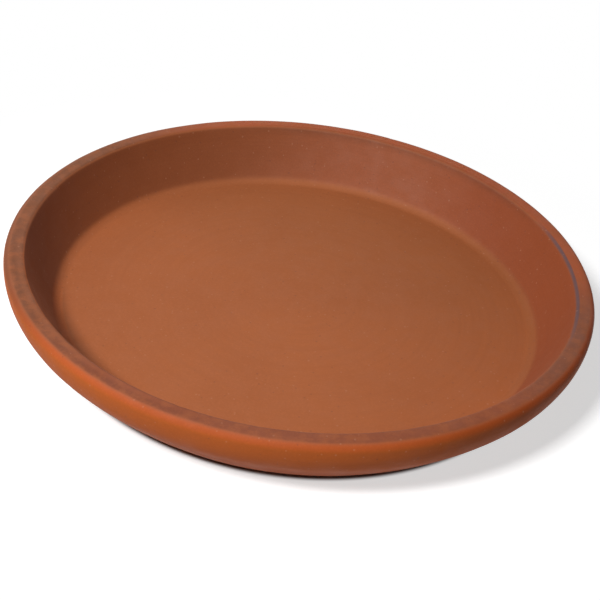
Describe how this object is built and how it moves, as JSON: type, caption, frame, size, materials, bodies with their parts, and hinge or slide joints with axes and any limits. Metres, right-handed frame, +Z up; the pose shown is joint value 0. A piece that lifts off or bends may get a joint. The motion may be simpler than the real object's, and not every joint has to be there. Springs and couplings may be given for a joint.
{
  "type": "plant saucer",
  "caption": "Round shallow dish of unglazed fired clay with a sloping wall and a rounded lip, which stands under a plant pot and holds the water that drains from it.",
  "frame": {"origin": "middle of the flat base, on the surface that the saucer stands on", "axes": "+Z up through the open side; the dish is the same all round, so +X and +Y are any two level directions"},
  "size_m": [0.31, 0.31, 0.039],
  "materials": {
    "fired_clay": "matte"
  },
  "bodies": {
    "root": {"saucer": "fired_clay"}
  },
  "joints": []
}
